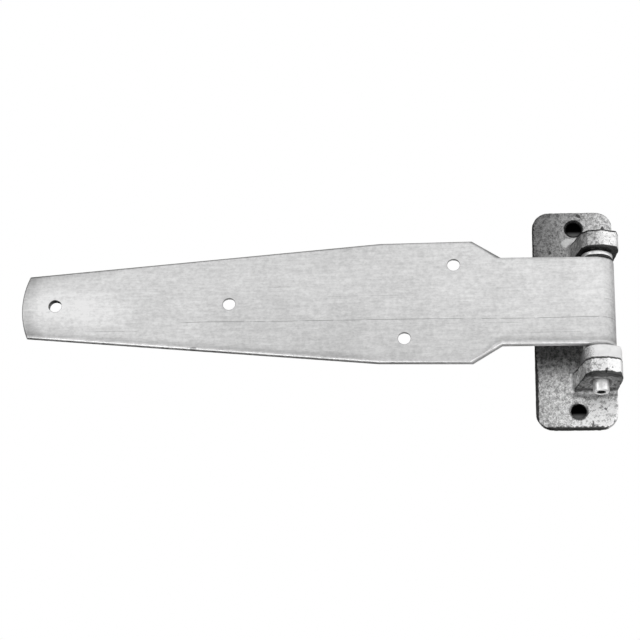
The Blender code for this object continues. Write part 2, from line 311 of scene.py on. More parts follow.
class Shade:
    """Builds one material's node tree. Coordinates are the object's, in millimetres."""

    def __init__(self, name):
        self.material = bpy.data.materials.new(name)
        self.material.use_nodes = True
        self.tree = self.material.node_tree
        self.shader = self.tree.nodes["Principled BSDF"]
        coordinates = self.tree.nodes.new("ShaderNodeTexCoord")
        self.millimetres = self.stretched(coordinates.outputs["Object"], (1.0 / MM, 1.0 / MM, 1.0 / MM))

    def link(self, source, socket):
        """Links a socket, or sets a plain value."""
        if isinstance(source, bpy.types.NodeSocket):
            self.tree.links.new(source, socket)
        else:
            socket.default_value = source

    def stretched(self, vector, scale, location=(0.0, 0.0, 0.0)):
        """The vector scaled along each axis, and moved."""
        node = self.tree.nodes.new("ShaderNodeMapping")
        node.inputs["Scale"].default_value = scale
        node.inputs["Location"].default_value = location
        self.link(vector, node.inputs["Vector"])
        return node.outputs["Vector"]

    def axis(self, name):
        """One of the coordinates."""
        node = self.tree.nodes.new("ShaderNodeSeparateXYZ")
        self.link(self.millimetres, node.inputs[0])
        return node.outputs[name]

    def pointiness(self):
        """How convex the surface is; 0.5 is flat."""
        return self.tree.nodes.new("ShaderNodeNewGeometry").outputs["Pointiness"]

    def noise(self, scale, detail=2.0, stretch=(1.0, 1.0, 1.0), roughness=0.5, shift=0.0, distortion=0.0):
        """Noise with features of about 1/scale millimetres."""
        node = self.tree.nodes.new("ShaderNodeTexNoise")
        node.inputs["Scale"].default_value = scale
        node.inputs["Detail"].default_value = detail
        node.inputs["Roughness"].default_value = roughness
        node.inputs["Distortion"].default_value = distortion
        where = self.stretched(self.millimetres, stretch, (shift, shift, shift))
        self.link(where, node.inputs["Vector"])
        return node.outputs["Fac"]

    def math(self, operation, *values):
        """A Math node."""
        node = self.tree.nodes.new("ShaderNodeMath")
        node.operation = operation
        for value, socket in zip(values, node.inputs):
            self.link(value, socket)
        return node.outputs[0]

    def chain(self, operation, values):
        """One Math operation over several values, from the left."""
        result = values[0]
        for value in values[1:]:
            result = self.math(operation, result, value)
        return result

    def total(self, *values):
        """The sum of the values."""
        return self.chain("ADD", values)

    def less(self, *values):
        """The first value less all the others."""
        return self.chain("SUBTRACT", values)

    def product(self, *values):
        """The product of the values."""
        return self.chain("MULTIPLY", values)

    def strongest(self, *values):
        """The largest of the values."""
        return self.chain("MAXIMUM", values)

    def without(self, mask, share):
        """A factor of 1 that loses a share where the mask is 1."""
        return self.less(1.0, self.product(mask, share))

    def apart(self, value, place):
        """How far the value lies from a place."""
        return self.math("ABSOLUTE", self.less(value, place))

    def reach(self, across, up):
        """The length of the vector (across, up)."""
        return self.math("SQRT", self.total(self.product(across, across), self.product(up, up)))

    def span(self, value, low, high, to_low=0.0, to_high=1.0):
        """Maps low..high to to_low..to_high, clamped and eased."""
        node = self.tree.nodes.new("ShaderNodeMapRange")
        node.interpolation_type = "SMOOTHSTEP"
        self.link(value, node.inputs["Value"])
        self.link(low, node.inputs["From Min"])
        self.link(high, node.inputs["From Max"])
        node.inputs["To Min"].default_value = to_low
        node.inputs["To Max"].default_value = to_high
        return node.outputs["Result"]

    def level(self, noise_value, to_low, to_high):
        """Maps the range that most of a noise lies in to to_low..to_high."""
        return self.span(noise_value, *NOISE_RANGE, to_low, to_high)

    def spot(self, centre, half_size):
        """A soft ellipse in X and Z, with a ragged edge."""
        x = self.math("DIVIDE", self.less(self.axis("X"), centre[0]), half_size[0])
        z = self.math("DIVIDE", self.less(self.axis("Z"), centre[1]), half_size[1])
        ragged = self.product(self.less(self.noise(0.5, 2.0, shift=83.0), 0.5), 1.6)
        return self.span(self.total(self.product(x, x), self.product(z, z), ragged), 0.5, 1.2, 1.0, 0.0)

    def mix(self, factor, first, second):
        """A colour mix; first and second are sockets or grey levels."""
        node = self.tree.nodes.new("ShaderNodeMix")
        node.data_type = "RGBA"
        self.link(factor, node.inputs["Factor"])
        for source, socket in ((first, node.inputs["A"]), (second, node.inputs["B"])):
            if isinstance(source, float):
                source = (source, source, source, 1.0)
            self.link(source, socket)
        return node.outputs["Result"]

    def toned(self, color, factor):
        """The colour times a factor, no paler than PALEST."""
        node = self.tree.nodes.new("ShaderNodeVectorMath")
        node.operation = "SCALE"
        self.link(color, node.inputs[0])
        self.link(factor, node.inputs["Scale"])
        limit = self.tree.nodes.new("ShaderNodeVectorMath")
        limit.operation = "MINIMUM"
        limit.inputs[1].default_value = (PALEST, PALEST, PALEST)
        self.link(node.outputs["Vector"], limit.inputs[0])
        return limit.outputs["Vector"]

    def bump(self, height, distance, strength):
        """A bump whose distance is in metres."""
        node = self.tree.nodes.new("ShaderNodeBump")
        node.inputs["Distance"].default_value = distance
        node.inputs["Strength"].default_value = strength
        self.link(height, node.inputs["Height"])
        return node.outputs["Normal"]

    def finish(self, color, roughness, metallic, normal=None):
        """Feeds the Principled shader."""
        self.link(color, self.shader.inputs["Base Color"])
        self.link(roughness, self.shader.inputs["Roughness"])
        self.shader.inputs["Metallic"].default_value = metallic
        if normal is not None:
            self.link(normal, self.shader.inputs["Normal"])
        return self.material


def from_pin(s):
    """The distance from the pin's axis."""
    return s.reach(s.less(s.axis("X"), PIN.x / MM), s.less(s.axis("Y"), PIN.y / MM))


# The strap's material. The limits of its masks are in millimetres.


def plated_steel():
    """Satin zinc plate over rolled steel, mottled, with a faint lengthwise grain and scratches."""
    s = Shade("plated_steel")
    cloud = s.noise(0.03, 3.0)
    mottle = s.noise(0.30, 5.0, roughness=0.70, shift=9.0)
    speck = s.noise(1.1, 2.0, stretch=(0.5, 1.0, 1.0), shift=30.0)
    grain = s.noise(1.0, 4.0, stretch=(0.08, 0.8, 0.8), roughness=0.7)
    tone = s.total(s.level(cloud, 0.40, 0.60), s.level(mottle, -0.22, 0.22),
                   s.level(speck, -0.12, 0.12), s.level(grain, -0.15, 0.15))
    front = strap_front(s)
    lines = s.product(long_scratches(s), front)
    # The strap's tone, with painted shade and a painted highlight.
    color = s.toned(s.mix(tone, 0.61, 1.0), strap_tone_and_painted_light(s, front))
    color = s.mix(hole_rings(s), color, 0.03)
    color = s.mix(s.product(s.spot(NICK_PLACE, NICK_SIZE), 0.7), color, 0.25)
    color = s.mix(s.product(lines, 0.75), color, 0.12)
    roughness = s.total(s.level(mottle, 0.40, 0.50), s.level(speck, -0.03, 0.03))
    height = s.less(s.total(s.product(grain, 0.3), s.product(speck, 0.4)), s.product(lines, 0.8))
    return s.finish(color, roughness, 0.9, s.bump(height, 0.03 * MM, 0.7))


def strap_front(s):
    """1 on the strap's front and on its eye, 0 on its back."""
    face = s.span(s.axis("Y"), STRAP_LOW.y / MM + 1.0, STRAP_LOW.y / MM + 2.0, 1.0, 0.0)
    return s.strongest(face, s.span(s.axis("X"), 2.0, 6.0))


def strap_tone_and_painted_light(s, front):
    """A factor for the strap's tone: darker towards the bottom and in two fields, a darker line by the lower
    edge and a darker rim round the tip, painted shade along the top edge, painted light and shade on the
    eye, and a painted highlight streak.
    """
    along, height = s.axis("X"), s.less(s.axis("Z"), STRAP_Z / MM)
    edge = strap_edge(s, along)
    below_top, above_low = s.less(edge, height), s.total(edge, height)
    # Darker towards the bottom, in two fields and by the lower edge.
    field = s.less(s.span(height, -36.0, 36.0, 0.98, 1.01), darker_fields(s, along, height),
                   lower_edge(s, along, above_low))
    # Painted shade along the top edge, and over the top margin near the tip.
    painted_shade_top_line = s.span(below_top, 0.2, 1.6, 0.80, 1.0)
    # Painted light and shade on the eye: lighter where the curl starts, darker on its curve, which catches
    # the lights.
    eye = s.product(s.span(along, 0.0, 7.0, 1.0, 1.04), s.span(along, 13.0, 18.0, 1.0, 0.80))
    painted_shade_top_margin = s.product(s.span(below_top, 0.5, 8.0, 1.0, 0.0), s.span(along, -330.0, -210.0, 0.20, 0.0))
    tone = s.less(s.product(field, painted_shade_top_line, eye), painted_shade_top_margin, tip_rim(s, along, height))
    # Plus the painted highlight streak on the front.
    return s.total(tone, s.product(painted_highlight_streak(s, along, height), front))


def strap_edge(s, along):
    """How far the strap's edges lie above and below its middle line."""
    flank = (TAPER_END[1] - TIP_CORNER[1]) / (TAPER_END[0] - TIP_CORNER[0])
    start = (TIP_CORNER[1] - flank * TIP_CORNER[0]) / MM
    taper = s.math("MULTIPLY_ADD", s.math("MINIMUM", along, TAPER_END[0] / MM), flank, start)
    drop = (SHOULDER[1] - NECK[1]) / MM
    return s.less(taper, s.product(s.span(along, SHOULDER[0] / MM, NECK[0] / MM), drop))


def darker_fields(s, along, height):
    """Darker low on the strap's wide end, and halfway along."""
    low = s.product(s.span(height, -30.0, 5.0, 0.09, 0.0), s.span(along, -250.0, -60.0))
    return s.total(low, s.span(s.apart(along, -160.0), 20.0, 110.0, 0.07, 0.0))


def lower_edge(s, along, above_low):
    """A darker line just above the lower edge, faint below the wide end's two holes."""
    line = s.product(s.span(above_low, 0.9, 1.8), s.span(above_low, 2.0, 5.5, 0.20, 0.0))
    return s.product(line, s.span(s.apart(along, -88.0), 20.0, 45.0, 0.2, 1.0))


def tip_rim(s, along, height):
    """The darker rim round the tip."""
    away = s.reach(s.less(along, -278.0), height)
    return s.product(s.span(away, 38.0, 51.0), s.span(along, -314.0, -306.0, 0.34, 0.0))


def painted_highlight_streak(s, along, height):
    """A painted highlight streak along the middle, from the tip hole on."""
    across = s.span(s.apart(height, -1.5), 2.0, 15.0, 0.22, 0.0)
    return s.product(across, s.span(along, -305.0, -250.0, 1.0, 0.0))


def hole_rings(s):
    """Dark rings round the strap's holes, and painted shadow, black, on the inner side of the tip hole."""
    rings = []
    for x, z in STRAP_HOLES:
        across, up = s.less(s.axis("X"), x / MM), s.less(s.axis("Z"), (STRAP_Z + z) / MM)
        away = s.reach(across, up)
        rings.append(s.span(away, 3.75, 4.15, 0.6, 0.0))
        if (x, z) == STRAP_HOLES[0]:
            # Painted shadow on the tip hole's inner side.
            tip_hole_painted_shadow = s.product(s.span(away, 4.0, 4.4, 0.98, 0.0), s.span(across, -0.5, 2.0, 1.0, 0.0))
            rings.append(s.product(tip_hole_painted_shadow, s.span(up, -3.0, -1.0)))
    return s.strongest(*rings)


def long_scratches(s):
    """The rolling marks: thin, slightly wavy and broken."""
    wobble = s.product(s.less(s.noise(0.02, 2.0, shift=50.0), 0.5), 1.6)
    along, height = s.axis("X"), s.total(s.axis("Z"), wobble)
    gaps = s.span(s.noise(1.0, 3.0, stretch=(0.12, 0.02, 0.02), shift=61.0), 0.34, 0.50)
    marks = []
    for centre, start, end, width in SCRATCHES:
        line = s.span(s.apart(height, centre), 0.15 * width, width, 1.0, 0.0)
        starts = s.span(along, start, start + SCRATCH_FADE)
        ends = s.span(along, end - SCRATCH_FADE, end, 1.0, 0.0)
        marks.append(s.product(line, s.product(starts, ends), gaps))
    return s.strongest(*marks)


# The flange's material. The limits of its masks are in millimetres.


def cast_zinc():
    """A rough casting, mottled, with soft dark pits, darker in its hollows, chipped dark edges, and painted
    light and shade.
    """
    s = Shade("cast_zinc")
    blotch = s.noise(0.10, 3.0)
    grain = s.noise(0.38, 4.0, roughness=0.72, shift=5.0)
    fine = s.noise(1.3, 2.0, shift=12.0)
    pits = s.span(s.noise(0.24, 1.0, shift=40.0), 0.71, 0.75)
    tone = s.total(s.level(blotch, 0.42, 0.58), s.level(grain, -0.55, 0.55), s.level(fine, -0.30, 0.30))
    # The casting's tone, with painted light and painted shadow.
    color = s.toned(s.mix(tone, 0.28, 0.92), cast_painted_light(s))
    # Painted highlights and a painted shadow by the lugs' roots.
    for centre, half_size, strength, mark_tone in PAINTED_LIGHT_MARKS:
        mark = s.product(s.spot(centre, half_size), plate_face(s), strength)
        color = s.mix(mark, color, mark_tone)
    # Darker in the casting's hollows.
    hollow = s.span(s.pointiness(), 0.42, 0.50, 1.0, 0.0)
    color = s.mix(s.product(hollow, 0.7), color, 0.05)
    color = s.mix(s.product(pits, 0.8), color, 0.03)
    # Black rims, and painted shade in the holes, along the lugs' edges and round the pin.
    color = s.mix(s.product(dark_rims_and_painted_shade(s), 0.93), color, 0.01)
    roughness = s.level(grain, 0.38, 0.55)
    relief = s.less(s.total(s.product(grain, 0.6), s.product(fine, 0.3)), s.product(pits, 0.6))
    return s.finish(color, roughness, 0.9, s.bump(relief, 0.16 * MM, 0.8))


def cast_front(s):
    """1 from the plate's front face forwards, 0 behind it."""
    return s.span(s.axis("Y"), -4.4, -3.4, 1.0, 0.0)


def plate_face(s):
    """1 on the plate's front face alone."""
    return s.product(s.span(s.axis("Y"), -7.0, -5.5), cast_front(s))


def cast_painted_light(s):
    """A factor for the casting's tone: painted light, brighter to the right and below, painted shadow behind
    the strap and under the lower lug, and painted light and shade on the lugs' facets.
    """
    along, depth, height = s.axis("X"), s.axis("Y"), s.axis("Z")
    # Painted light: brighter to the right and below.
    painted_light_gradient = s.total(s.span(along, -24.0, 28.0, 0.56, 1.38), s.span(height, -69.0, 69.0, 0.33, -0.27))
    # Painted shadow on the plate behind the strap.
    painted_shadow_behind_strap = s.product(s.span(s.math("ABSOLUTE", height), 22.0, 44.0, 1.0, 0.0),
                           s.span(depth, -9.0, -5.5), cast_front(s))
    # Painted shadow on the plate under the lower lug.
    painted_shadow_under_lug = s.product(s.span(height, -52.5, -48.5), s.span(height, -44.0, -42.0, 1.0, 0.0),
                          s.span(along, -5.0, 0.0), s.span(depth, -14.0, -8.0), cast_front(s))
    # Painted shade on the lugs' left facets and painted light on their right facets.
    painted_light_on_lug_facets = s.product(s.span(along, 11.5, 17.5, -0.14, 0.58), s.span(depth, -20.0, -14.0, 1.0, 0.0))
    return s.product(painted_light_gradient, s.without(painted_shadow_behind_strap, 0.60), s.without(painted_shadow_under_lug, 0.70), s.total(1.0, painted_light_on_lug_facets))


def dark_rims_and_painted_shade(s):
    """Broken black on the plate's rim and the lugs' edges, with painted shade in the plate's holes, along
    the lugs' edges and round the pin.
    """
    chips = s.less(s.noise(0.55, 3.0, shift=70.0), 0.5)
    forward = s.span(s.axis("Y"), -9.0, -6.5, 1.0, 0.0)
    lugs = s.strongest(lug_outer_edges(s, chips), lug_inner_edges(s, chips))
    return s.strongest(plate_rim(s, chips), plate_holes(s, chips), s.product(lugs, forward),
                       pin_socket(s), nib_mask(s))


def plate_rim(s, chips):
    """The plate's left and lower rim, the left one wider towards the bottom."""
    height = s.axis("Z")
    left = s.less(-PLATE_WIDTH / 2.0 / MM, s.axis("X"))
    left = s.total(left, s.span(height, -40.0, -20.0, 0.9, 0.0))
    low = s.less(-PLATE_HEIGHT / 2.0 / MM, height)
    return s.span(s.total(s.strongest(left, low), s.product(chips, 2.6)), -1.3, -0.6)


def plate_holes(s, chips):
    """Painted shade in the flange's holes and on the rims of their sinks, wider above than below."""
    height = s.axis("Z")
    across = s.less(s.axis("X"), PLATE_HOLE_X / MM)
    up = s.less(s.math("ABSOLUTE", height), PLATE_HOLE_Z / MM)
    away = s.total(s.reach(across, up), s.product(chips, 0.8))
    inner, outer = s.span(height, -1.0, 1.0, 4.5, 5.6), s.span(height, -1.0, 1.0, 4.9, 6.2)
    return s.strongest(s.span(away, inner, outer, 1.0, 0.0), s.span(away, 5.6, 6.2, 0.5, 0.0))


def lug_outer_edges(s, chips):
    """The lugs' outer edges: a chipped line of painted shade, thicker at the lower lug's nose, and a band of
    painted shade on the outer faces beyond it.
    """
    depth, height = s.axis("Y"), s.axis("Z")
    outer = s.math("MULTIPLY_ADD", depth, LUG_SLOPE, (LUG_INNER_Z + LUG_ROOT) / MM + 0.3)
    inside = s.less(outer, s.math("ABSOLUTE", height))
    thick = s.product(s.span(depth, -29.0, -26.5, 0.68, 0.15), s.span(height, -1.0, 1.0, 1.0, 0.0))
    line = s.math("ABSOLUTE", s.total(s.less(inside, 0.75), s.product(chips, 1.6)))
    line = s.span(s.less(line, thick), 0.3, 0.7, 1.0, 0.0)
    # Painted shade on the lugs' outer faces.
    return s.strongest(line, s.span(inside, 0.05, 0.4, 0.76, 0.0))


def lug_inner_edges(s, chips):
    """The lugs' inner edges: painted shadow along the upper lug's, and a chipped dark joint along the lower
    one's.
    """
    height = s.axis("Z")
    # Painted shadow along the upper lug's underside edge.
    upper = s.product(s.span(height, 34.0, 34.5), s.span(height, 35.5, 36.1, 1.0, 0.0))
    lower = s.math("ABSOLUTE", s.total(height, 35.7, s.product(chips, 2.2)))
    return s.strongest(upper, s.span(lower, 0.3, 0.7, 1.0, 0.0))


def pin_socket(s):
    """Painted shadow: the dark ring round the pin's lower end."""
    return s.product(s.span(from_pin(s), 6.2, 8.0, 0.95, 0.0), s.span(s.axis("Z"), -45.2, -44.6, 1.0, 0.0))


def nib_mask(s):
    """The dark nib on the upper lug's nose."""
    return s.product(s.span(s.axis("Z"), 45.4, 46.2), s.span(s.axis("Y"), -28.5, -28.0, 1.0, 0.0), 0.85)


# The other materials.


def bright_steel():
    """Turned steel with fine rings round its axis."""
    s = Shade("bright_steel")
    rings = s.noise(1.0, 3.0, stretch=(0.08, 0.08, 5.0))
    stain = s.noise(0.3, 2.0, shift=3.0)
    color = s.mix(s.span(stain, 0.35, 0.75), 0.95, 0.75)
    return s.finish(color, s.level(rings, 0.30, 0.42), 1.0, s.bump(rings, 0.02 * MM, 0.5))


def drawn_steel():
    """The pin's drawn steel, duller than the turned washer, with painted shade dark in the drilled end."""
    s = Shade("drawn_steel")
    rings = s.noise(1.0, 3.0, stretch=(0.6, 0.6, 2.0))
    stain = s.noise(0.35, 3.0, shift=3.0)
    color = s.mix(s.span(stain, 0.35, 0.75), 0.92, 0.62)
    # Painted shade in the drilled end.
    color = s.mix(s.span(from_pin(s), 2.4, 2.9, 0.95, 0.0), color, 0.01)
    return s.finish(color, s.level(rings, 0.30, 0.40), 0.85, s.bump(rings, 0.02 * MM, 0.5))


def pale_nylon():
    """Off-white nylon with faint flow marks and grime, with painted shadow, black, at the top and painted
    shade on its left.
    """
    s = Shade("pale_nylon")
    flow = s.noise(0.15, 3.0, distortion=0.6)
    speck = s.noise(1.6, 2.0, shift=8.0)
    grime = s.span(s.noise(0.4, 3.0, shift=21.0), 0.55, 0.75)
    color = s.mix(s.level(flow, 0.0, 1.0), 0.78, 0.88)
    color = s.mix(s.product(grime, 0.2), color, 0.40)
    # Painted shadow: black at the top, in the gap between the strap's eye and the washer.
    color = s.mix(s.span(s.axis("Z"), 28.0, 29.5, 0.0, 0.98), color, 0.01)
    ragged = s.total(s.axis("X"), s.level(speck, -2.0, 2.0))
    # Painted shade on the left, which faces away from the light.
    color = s.mix(s.span(ragged, 2.5, 10.5, 0.93, 0.0), color, 0.05)
    return s.finish(color, s.level(speck, 0.42, 0.55), 0.0, s.bump(speck, 0.03 * MM, 0.5))


# Pieces.


def strap_outline():
    """The flat part of the strap in X and Z, from the pin axis round the tip and back."""
    tip_x, tip_half = TIP_CORNER
    rise = tip_x - STRAP_LOW.x
    radius = (tip_half ** 2 + rise ** 2) / (2.0 * rise)
    sweep = math.asin(tip_half / radius)
    upper = [(PIN.x, NECK[1]), NECK, SHOULDER, TAPER_END]
    arc = []
    for step in range(TIP_STEPS + 1):
        turn = sweep * (1.0 - 2.0 * step / TIP_STEPS)
        arc.append((STRAP_LOW.x + radius * (1.0 - math.cos(turn)), radius * math.sin(turn)))
    return upper + arc + [(x, -half) for x, half in reversed(upper)]


def make_strap():
    """The strap, flat to the neck and rolled into the eye round the pin."""
    bm = bmesh.new()
    front = [bm.verts.new((x, STRAP_LOW.y, STRAP_Z + z)) for x, z in strap_outline()]
    blank = bm.faces.new(front)
    grown = bmesh.ops.extrude_face_region(bm, geom=[blank], use_keep_orig=True)
    moved = [v for v in grown["geom"] if isinstance(v, bmesh.types.BMVert)]
    bmesh.ops.translate(bm, verts=moved, vec=(0.0, STRAP_THICKNESS, 0.0))
    end = [f for f in bm.faces if all(abs(v.co.x - PIN.x) < NEAR for v in f.verts)]
    region = end + list(end[0].edges) + list(end[0].verts)
    bmesh.ops.spin(bm, geom=region, cent=PIN, axis=(0.0, 0.0, 1.0),
                   angle=EYE_CURL, steps=EYE_STEPS, use_duplicate=False)
    strap = object_from(bm, "strap_skin")
    for (x, z), taper in zip(STRAP_HOLES, STRAP_HOLE_TAPERS):
        cut_strap_hole(strap, x, z, taper)
    weigh_strap_edges(strap.data)
    bevel(strap, FRONT_EDGE, segments=5, by_weight=True, clamp=False)
    return strap


def cut_strap_hole(strap, x, z, taper):
    """Cuts one hole, straight in front and wider towards the back."""
    depth = 2.0 * STRAP_THICKNESS
    wide = STRAP_HOLE_RADIUS + taper * depth / STRAP_THICKNESS
    profile = [(0.0, -depth), (STRAP_HOLE_RADIUS, -depth), (STRAP_HOLE_RADIUS, STRAP_HOLE_LAND),
               (wide, STRAP_HOLE_LAND + depth), (0.0, STRAP_HOLE_LAND + depth)]
    cut(strap, profile, (x, STRAP_LOW.y, STRAP_Z + z), axis="Y")


def weigh_strap_edges(mesh):
    """Gives the strap's front and outer rim a wide rounding, and its back and holes a narrow one."""
    weights = mesh.attributes.new("bevel_weight_edge", "FLOAT", "EDGE")
    bm = bmesh.new()
    bm.from_mesh(mesh)
    for edge in bm.edges:
        if len(edge.link_faces) < 2 or edge.calc_face_angle() < math.radians(SHARP_ANGLE):
            continue
        middle = (edge.verts[0].co + edge.verts[1].co) / 2.0
        outer = abs(middle.y - STRAP_LOW.y) < NEAR
        if middle.x > PIN.x - NEAR:
            outer = (middle - PIN).xy.length > EYE_RADIUS - 0.1 * MM
        near_hole = any(math.hypot(middle.x - x, middle.z - STRAP_Z - z) < 1.5 * STRAP_HOLE_RADIUS
                        for x, z in STRAP_HOLES)
        width = HOLE_EDGE if near_hole else FRONT_EDGE if outer else BACK_EDGE
        weights.data[edge.index].value = width / FRONT_EDGE
    bm.free()


def make_flange():
    """The cast flange: plate and lugs joined, softened by a remesh and roughened."""
    flange = make_plate()
    for side in (1, -1):
        boolean(flange, make_lug(side), "UNION")
        boolean(flange, root_fillet(side), "UNION")
    for side in (1, -1):
        cut_plate_hole(flange, side)
    boolean(flange, make_nib(), "UNION")
    cut_bore(flange, FLANGE_LOW.z - CUT_EXCESS, FLANGE_HIGH.z + CUT_EXCESS, HOLE_SIDES)
    modifier = flange.modifiers.new("remesh", "REMESH")
    modifier.mode = "VOXEL"
    modifier.voxel_size = CAST_VOXEL
    modifier.use_smooth_shade = True
    smooth = flange.modifiers.new("smooth", "SMOOTH")
    smooth.factor = 0.5
    smooth.iterations = 2
    apply_modifiers(flange)
    roughen(flange.data)
    return flange


def make_plate():
    """The flange's plate with rounded corners, its back on the plane Y = 0."""
    half_x, half_z = PLATE_WIDTH / 2.0, PLATE_HEIGHT / 2.0
    outline = rounded([(sx * half_x, sz * half_z, PLATE_CORNER)
                       for sx, sz in ((-1, -1), (1, -1), (1, 1), (-1, 1))], 12)
    bm = prism(outline, lambda p: 0.0, lambda p: PLATE_THICKNESS)
    for vertex in bm.verts:
        vertex.co = (vertex.co.x, -vertex.co.z, vertex.co.y)
    return object_from(bm, "flange_skin")


def cut_plate_hole(flange, side):
    """Cuts one screw hole and its sink, above where side is +1 and below where it is -1."""
    sink_depth = PLATE_SINK_RADIUS - PLATE_HOLE_RADIUS
    back, front = CUT_EXCESS, -PLATE_THICKNESS - CUT_EXCESS
    profile = [(0.0, back), (PLATE_HOLE_RADIUS, back), (PLATE_HOLE_RADIUS, sink_depth - PLATE_THICKNESS),
               (PLATE_SINK_RADIUS + CUT_EXCESS, front), (0.0, front)]
    cut(flange, profile, (PLATE_HOLE_X, 0.0, side * PLATE_HOLE_Z), axis="Y")


def make_nib():
    """The small nib on the upper lug's nose."""
    profile = [(0.0, -0.5 * MM), (1.2 * MM, -0.5 * MM), (1.0 * MM, 1.4 * MM),
               (0.5 * MM, 2.3 * MM), (0.0, 2.5 * MM)]
    centre = (PIN.x + NIB_PLACE[0], FLANGE_LOW.y + NIB_PLACE[1], LUG_INNER_Z + LUG_NOSE)
    return object_from(turned(profile, centre, 16), "nib")


def roughen(mesh):
    """Sinks the casting's skin by uneven depths, twice as far along its edges."""
    positions = np.empty(len(mesh.vertices) * 3)
    normals = np.empty(len(mesh.vertices) * 3)
    mesh.vertices.foreach_get("co", positions)
    mesh.vertex_normals.foreach_get("vector", normals)
    positions, normals = positions.reshape(-1, 3), normals.reshape(-1, 3)
    bumps = np.array([sum(weight * noise.noise(Vector(p) * frequency) for frequency, weight in CAST_BUMPS)
                      for p in positions])
    wear = np.where(np.abs(normals).max(axis=1) < CAST_FLAT, 2.0, 1.0)
    depth = CAST_SINK + CAST_ROUGHNESS * np.clip(bumps, -0.5, 1.0) * wear
    positions -= normals * np.maximum(depth, 0.0)[:, None]
    mesh.vertices.foreach_set("co", positions.ravel())
    mesh.update()


def make_lug(side):
    """One lug, its outer face sloping. side is +1 above and -1 below."""
    sunk, deep = LUG_BACK - 0.2 * MM, LUG_BACK - 1.5 * MM
    outline = (
        (-21.5 * MM, sunk, 0.0),
        (-15.5 * MM, sunk, 4.5 * MM),
        (-9.4 * MM, 7.8 * MM, 3.0 * MM),
        (-5.6 * MM, 12.2 * MM, 3.0 * MM),
        (3.6 * MM, LUG_FORWARD, 0.0),
        (11.6 * MM, 9.8 * MM, 2.6 * MM),
        (12.9 * MM, 3.0 * MM, 4.0 * MM),
        (10.2 * MM, sunk, 0.0),
        (10.2 * MM, deep, 0.0),
        (-21.5 * MM, deep, 0.0),
    )

    def outer(point):
        return side * (LUG_INNER_Z + LUG_NOSE + LUG_SLOPE * (point.y - FLANGE_LOW.y))

    return object_from(prism(about_pin(outline), lambda p: side * LUG_INNER_Z, outer), "lug")


def root_fillet(side):
    """The fillet between a lug's outer face and the plate."""
    base = LUG_INNER_Z + LUG_ROOT - FILLET_SINK
    front = -PLATE_THICKNESS + FILLET_SINK
    hidden = base - 2.0 * MM
    section = [Vector((hidden, front)), Vector((hidden, front - FILLET_RADIUS - FILLET_SINK))]
    for step in range(FILLET_STEPS + 1):
        turn = math.pi / 2.0 * step / FILLET_STEPS
        section.append(Vector((base + FILLET_RADIUS * (1.0 - math.cos(turn)),
                               front - FILLET_SINK - FILLET_RADIUS * (1.0 - math.sin(turn)))))
    section.append(Vector((base + FILLET_RADIUS, front)))
    left, right = FILLET_ENDS
    bm = prism(section, lambda p: PIN.x + left, lambda p: PIN.x + right)
    for vertex in bm.verts:
        vertex.co = (vertex.co.z, vertex.co.y, side * vertex.co.x)
    return object_from(bm, "fillet")


def make_pin():
    """The pin: a low domed head above the upper lug and a drilled end below the lower one."""
    low, high = PIN_LOW.z, PIN_HIGH.z
    head_radius = (PIN_HIGH.x - PIN_LOW.x) / 2.0
    head_low = high - PIN_HEAD
    profile = rounded((
        (0.0, low + DRILL_DEPTH + DRILL_CONE, 0.0),
        (DRILL_RADIUS, low + DRILL_DEPTH, 0.0),
        (DRILL_RADIUS, low, 0.35 * MM),
        (PIN_RADIUS, low, 0.8 * MM),
        (PIN_RADIUS, head_low, 0.0),
        (head_radius, head_low, 0.15 * MM),
        (head_radius, high, 1.2 * MM),
        (0.0, high, 0.0),
    ))
    return object_from(turned(profile, (PIN.x, PIN.y, 0.0)), "pin_skin")


def make_block():
    """The smooth block above the lower lug."""
    outline = (
        (-11.4 * MM, -8.7 * MM, 1.5 * MM),
        (-9.6 * MM, 7.2 * MM, 5.0 * MM),
        (-5.0 * MM, 12.6 * MM, 4.0 * MM),
        (4.0 * MM, 12.8 * MM, 6.0 * MM),
        (11.6 * MM, 9.4 * MM, 4.0 * MM),
        (12.8 * MM, 1.0 * MM, 4.0 * MM),
        (12.2 * MM, -8.7 * MM, 1.5 * MM),
    )
    bm = prism(about_pin(outline, 10), lambda p: BLOCK_LOW.z, lambda p: BLOCK_HIGH.z)
    block = object_from(bm, "block_skin")
    cut_bore(block, BLOCK_LOW.z - CUT_EXCESS, BLOCK_HIGH.z + CUT_EXCESS, ROUND_SIDES)
    bevel(block, BLOCK_EDGE, segments=4, angle=50.0)
    return block


def make_washer():
    """The bright thrust washer under the upper lug."""
    outer = (WASHER_HIGH.x - WASHER_LOW.x) / 2.0
    low, high = WASHER_LOW.z, WASHER_HIGH.z
    profile = rounded(((BORE_RADIUS, low, 0.2 * MM), (outer, low, 0.5 * MM),
                       (outer, high, 0.5 * MM), (BORE_RADIUS, high, 0.2 * MM)), 5)
    return object_from(turned(profile, (PIN.x, PIN.y, 0.0)), "washer_skin")


def make_bushing(name, low, high, side):
    """A flanged bushing; side is +1 where the flange is on top."""
    sleeve = EYE_RADIUS - STRAP_THICKNESS - RUN_GAP
    flange = (high.x - low.x) / 2.0
    thickness = (high.z - low.z) - SLEEVE_LENGTH
    outer_z, sleeve_z = (high.z, low.z) if side > 0 else (low.z, high.z)
    step_z = outer_z - side * thickness
    profile = rounded((
        (BORE_RADIUS, sleeve_z, 0.2 * MM),
        (sleeve, sleeve_z, 0.3 * MM),
        (sleeve, step_z, 0.0),
        (flange, step_z, 0.15 * MM),
        (flange, outer_z, 0.3 * MM),
        (BORE_RADIUS, outer_z, 0.2 * MM),
    ), 4)
    return object_from(turned(profile, (PIN.x, PIN.y, 0.0)), name)


def place(piece, body, node, slot, material):
    """Gives a piece its material and its place in the model."""
    piece.data.materials.clear()
    piece.data.materials.append(material)
    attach(piece, body)
    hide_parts(node)


# Studio.


